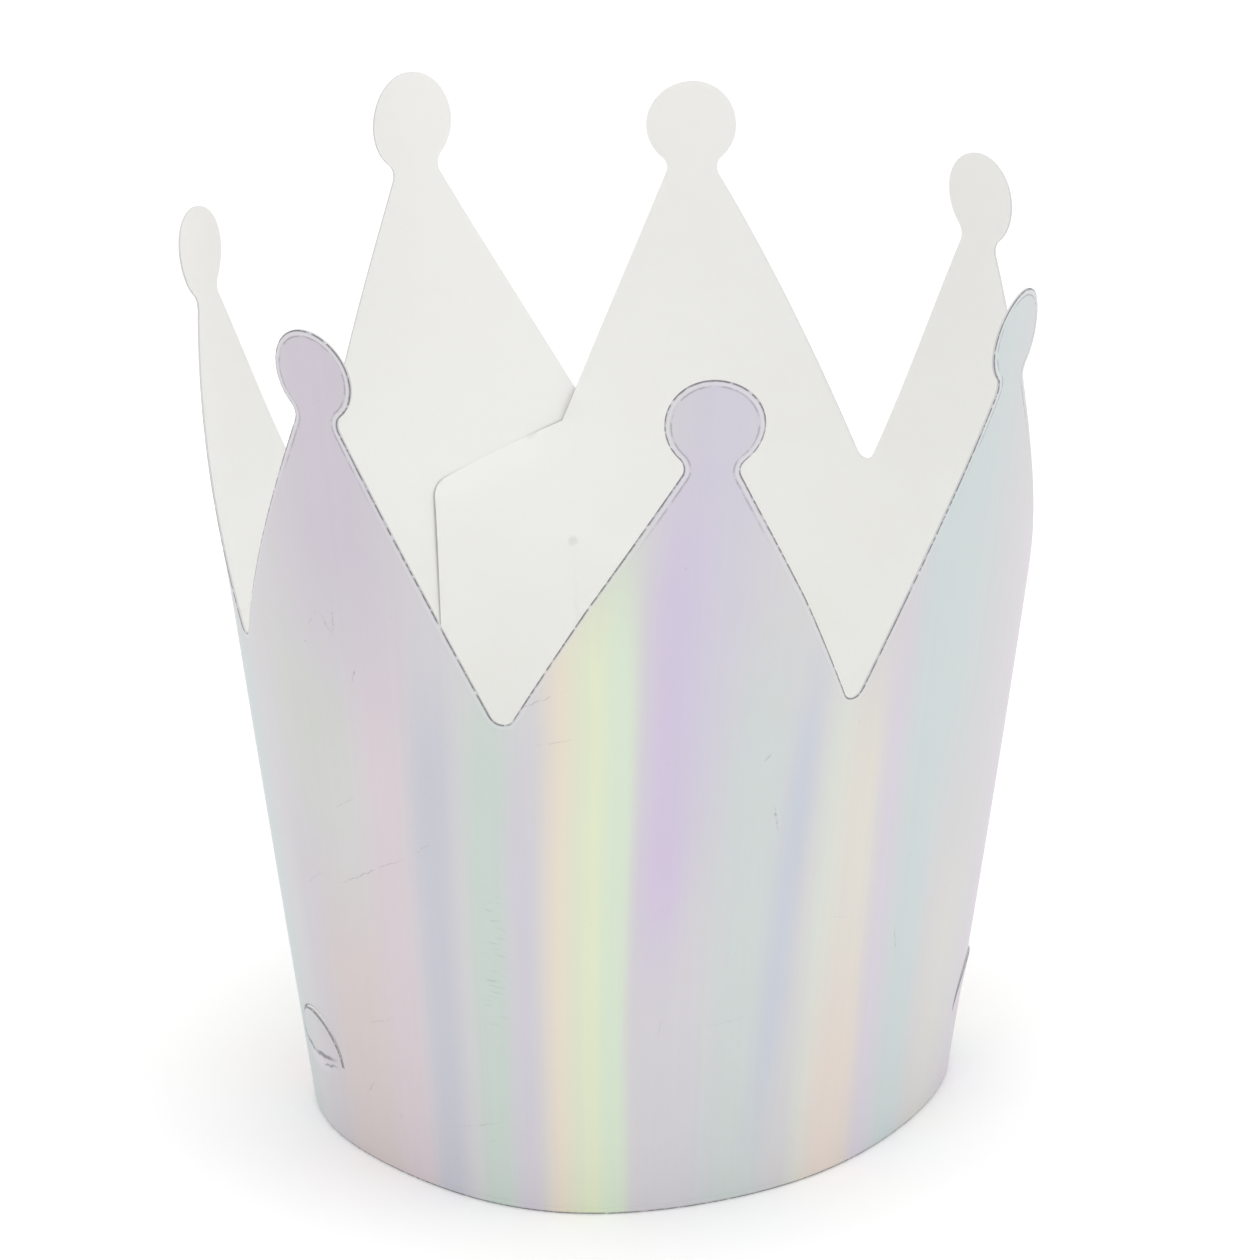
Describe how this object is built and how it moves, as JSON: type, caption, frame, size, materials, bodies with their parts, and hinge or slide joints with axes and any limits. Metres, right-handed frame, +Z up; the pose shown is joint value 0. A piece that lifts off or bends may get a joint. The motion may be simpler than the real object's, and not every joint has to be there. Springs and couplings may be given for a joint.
{
  "type": "paper crown",
  "caption": "Paper crown rolled from one foil-faced card sheet, with ball-tipped points and a glued lap at the back.",
  "frame": {"origin": "middle of the foot ring, on the surface that the crown stands on", "axes": "+Z up, -Y towards the front point, the glued lap at +Y"},
  "size_m": [0.1305, 0.1399, 0.1402],
  "materials": {
    "foil_card": "card with a pearly iridescent film outside and plain warm white inside, silver-grey cut edges"
  },
  "bodies": {
    "root": {"crown_sheet": "foil_card"}
  },
  "joints": []
}
